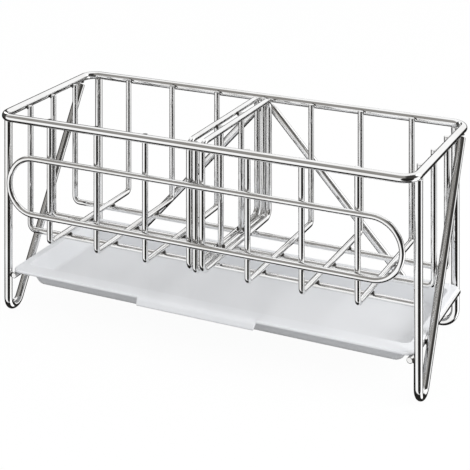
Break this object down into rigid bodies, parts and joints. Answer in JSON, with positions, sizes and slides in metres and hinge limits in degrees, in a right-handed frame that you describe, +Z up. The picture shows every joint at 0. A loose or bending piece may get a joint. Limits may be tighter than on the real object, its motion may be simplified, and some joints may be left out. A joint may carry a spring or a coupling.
{
  "type": "sink sponge holder",
  "caption": "Welded wire rack for sponges and brushes beside a sink, with a lift-out wire divider and a plastic drip tray that slides out at the front.",
  "frame": {"origin": "on the counter, under the middle of the rack", "axes": "+X along the rack's length to the right, +Y to the back, away from the front rail, +Z up"},
  "size_m": [0.2444, 0.1006, 0.1145],
  "materials": {
    "polished_steel": "polished stainless wire",
    "white_plastic": "satin, moulded"
  },
  "bodies": {
    "rack": {"top_rim": "polished_steel", "left_leg_wire": "polished_steel", "right_leg_wire": "polished_steel", "rear_frame": "polished_steel", "cross_wire_1": "polished_steel", "cross_wire_2": "polished_steel", "cross_wire_3": "polished_steel", "cross_wire_4": "polished_steel", "cross_wire_5": "polished_steel", "cross_wire_6": "polished_steel", "cross_wire_7": "polished_steel", "long_wire_front": "polished_steel", "long_wire_middle": "polished_steel", "long_wire_rear": "polished_steel", "front_rail": "polished_steel", "tray_rail_left": "polished_steel", "tray_rail_right": "polished_steel"},
    "tray": {"drip_tray": "white_plastic"},
    "divider": {"divider_loop_left": "polished_steel", "divider_loop_right": "polished_steel", "divider_post_front": "polished_steel", "divider_post_rear": "polished_steel"}
  },
  "joints": [
    {"name": "tray_slide", "type": "slide", "parent": "rack", "child": "tray", "axis": [0, -1, 0], "range_m": [0, 0.085]},
    {"name": "divider_lift", "type": "slide", "parent": "rack", "child": "divider", "axis": [0, 0, 1], "range_m": [0, 0.072]}
  ]
}
